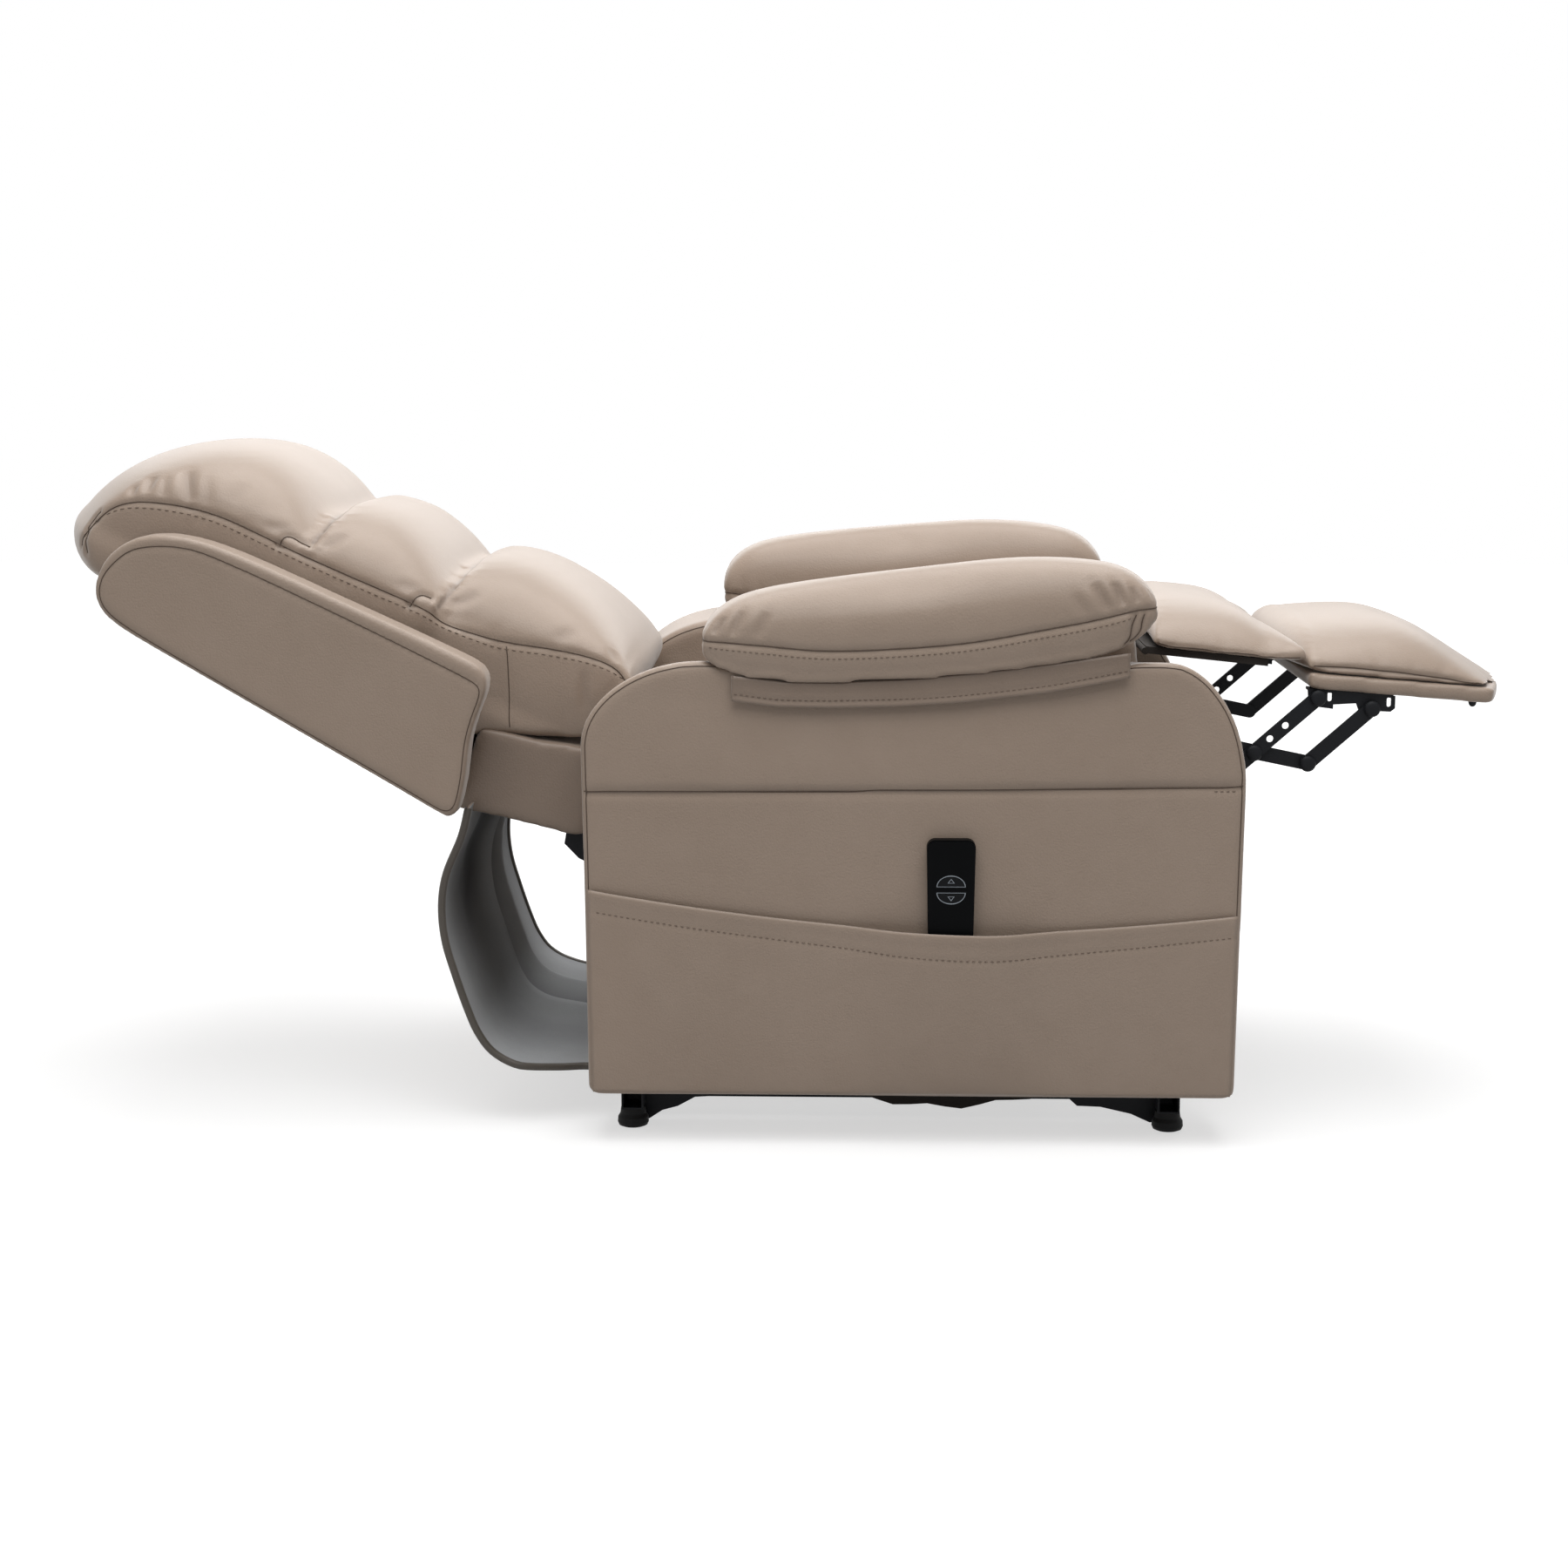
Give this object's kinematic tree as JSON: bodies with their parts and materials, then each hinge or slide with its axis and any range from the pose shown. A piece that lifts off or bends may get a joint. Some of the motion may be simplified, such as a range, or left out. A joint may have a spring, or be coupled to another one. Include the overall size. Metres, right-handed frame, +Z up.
{
  "type": "lift recliner chair",
  "caption": "Powered riser and recliner armchair in taupe leather: lifting scissor base, pillowed reclining back, footrest folding out on link arms, side pocket holding a push-button handset",
  "frame": {"origin": "on the floor, under the middle of the overall box with the back lying back and the footrest out", "axes": "+X towards the footrest (the sitter's front), +Y to the sitter's left, +Z up"},
  "size_m": [1.7015, 0.7767, 0.7847],
  "materials": {
    "leather": "satin",
    "lining_cloth": "matte",
    "black_steel": "satin",
    "rod_steel": "satin",
    "frame_wood": "matte",
    "foot_rubber": "matte",
    "motor_plastic": "matte",
    "handset_plastic": "satin",
    "key_plastic": "satin"
  },
  "bodies": {
    "base": {"base_right_rail": "black_steel", "base_left_rail": "black_steel", "base_front_tube": "black_steel", "base_rear_tube": "black_steel", "feet": "foot_rubber"},
    "lift_arms": {"right_lift_arm": "black_steel", "left_lift_arm": "black_steel", "lift_torque_tube": "black_steel"},
    "lift_links": {"right_lift_link": "black_steel", "left_lift_link": "black_steel"},
    "actuator": {"motor_housing": "motor_plastic", "actuator_tube": "motor_plastic"},
    "rod": {"actuator_rod": "rod_steel"},
    "seat_frame": {"right_side_plate": "black_steel", "left_side_plate": "black_steel", "frame_front_tube": "black_steel", "frame_rear_tube": "black_steel", "skirt_rail": "frame_wood", "seat_front_rail": "frame_wood", "seat_rear_rail": "frame_wood", "seat_springs": "rod_steel", "seat_cushion": "leather", "seat_apron": "lining_cloth", "dust_cover": "lining_cloth", "right_arm_panel": "leather", "left_arm_panel": "leather", "right_arm_pad": "leather", "left_arm_pad": "leather", "right_arm_flap": "leather", "left_arm_flap": "leather", "side_pocket": "leather", "handset": "handset_plastic", "rear_skirt": "lining_cloth"},
    "up_key": {"up_button": "key_plastic"},
    "down_key": {"down_button": "key_plastic"},
    "backrest": {"right_back_bracket": "black_steel", "left_back_bracket": "black_steel", "right_back_stile": "frame_wood", "left_back_stile": "frame_wood", "back_top_rail": "frame_wood", "back_bottom_rail": "frame_wood", "back_cover": "leather", "back_lower_band": "leather", "right_wing": "leather", "left_wing": "leather", "head_pillow": "leather", "middle_pillow": "leather", "lumbar_pillow": "leather"},
    "leg_lower_links": {"lower_links": "black_steel", "leg_cross_tube": "black_steel"},
    "leg_long_links": {"long_links": "black_steel"},
    "leg_front_links": {"front_links": "black_steel"},
    "leg_drive_links": {"drive_links": "black_steel"},
    "footrest": {"footrest_brackets": "black_steel", "footrest_board": "leather", "footrest_pad": "leather"},
    "calf_rest": {"calf_board": "lining_cloth", "calf_pad": "leather"}
  },
  "joints": [
    {"name": "lift", "type": "hinge", "parent": "base", "child": "lift_arms", "pos_m": [0.34, 0, 0.072], "axis": [0, 1, 0], "range_deg": [0, 38]},
    {"name": "frame_tilt", "type": "hinge", "parent": "lift_arms", "child": "seat_frame", "pos_m": [0.04, 0, 0.245], "axis": [0, 1, 0], "range_deg": [-15.2, 0]},
    {"name": "lift_link_swing", "type": "hinge", "parent": "base", "child": "lift_links", "pos_m": [0.38, 0, 0.0662], "axis": [0, 1, 0], "range_deg": [0, 42.52]},
    {"name": "actuator_swing", "type": "hinge", "parent": "base", "child": "actuator", "pos_m": [-0.115, 0, 0.066], "axis": [0, 1, 0], "range_deg": [0, 1.06]},
    {"name": "rod_swing", "type": "hinge", "parent": "lift_arms", "child": "rod", "pos_m": [0.3107, 0, 0.1571], "axis": [0, 1, 0], "range_deg": [-36.94, 0]},
    {"name": "back_recline", "type": "hinge", "parent": "seat_frame", "child": "backrest", "pos_m": [-0.1655, 0, 0.286], "axis": [0, 1, 0], "range_deg": [0, 45], "deforming": ["rear_skirt"]},
    {"name": "footrest", "type": "hinge", "parent": "seat_frame", "child": "leg_lower_links", "pos_m": [0.367, 0, 0.467], "axis": [0, 1, 0], "range_deg": [0, 78]},
    {"name": "long_link_turn", "type": "hinge", "parent": "leg_lower_links", "child": "leg_long_links", "pos_m": [0.54, 0, 0.431], "axis": [0, 1, 0], "range_deg": [-78, 0]},
    {"name": "front_link_turn", "type": "hinge", "parent": "leg_lower_links", "child": "leg_front_links", "pos_m": [0.601, 0, 0.419], "axis": [0, 1, 0], "range_deg": [-78, 0]},
    {"name": "footrest_turn", "type": "hinge", "parent": "leg_long_links", "child": "footrest", "pos_m": [0.611, 0, 0.494], "axis": [0, 1, 0], "range_deg": [0, 78]},
    {"name": "drive_link_turn", "type": "hinge", "parent": "seat_frame", "child": "leg_drive_links", "pos_m": [0.32212, 0, 0.42718], "axis": [0, 1, 0], "range_deg": [0, 78]},
    {"name": "calf_drop", "type": "hinge", "parent": "seat_frame", "child": "calf_rest", "pos_m": [0.4157, 0, 0.546], "axis": [0, 1, 0], "range_deg": [0, 67.86]},
    {"name": "up_press", "type": "slide", "parent": "seat_frame", "child": "up_key", "axis": [0, 1, 0], "range_m": [0, 0.001], "stiffness_N_per_m": 1500, "springref_m": -0.0008},
    {"name": "down_press", "type": "slide", "parent": "seat_frame", "child": "down_key", "axis": [0, 1, 0], "range_m": [0, 0.001], "stiffness_N_per_m": 1500, "springref_m": -0.0008}
  ],
  "couplings": [
    {"joint": "frame_tilt", "follows": "lift", "ratio": -0.4},
    {"joint": "lift_link_swing", "follows": "lift", "ratio": 1.119},
    {"joint": "actuator_swing", "follows": "lift", "ratio": 0.028},
    {"joint": "rod_swing", "follows": "lift", "ratio": -0.972},
    {"joint": "long_link_turn", "follows": "footrest", "ratio": -1},
    {"joint": "front_link_turn", "follows": "footrest", "ratio": -1},
    {"joint": "footrest_turn", "follows": "footrest", "ratio": 1},
    {"joint": "drive_link_turn", "follows": "footrest", "ratio": 1},
    {"joint": "calf_drop", "follows": "footrest", "ratio": 0.87}
  ]
}
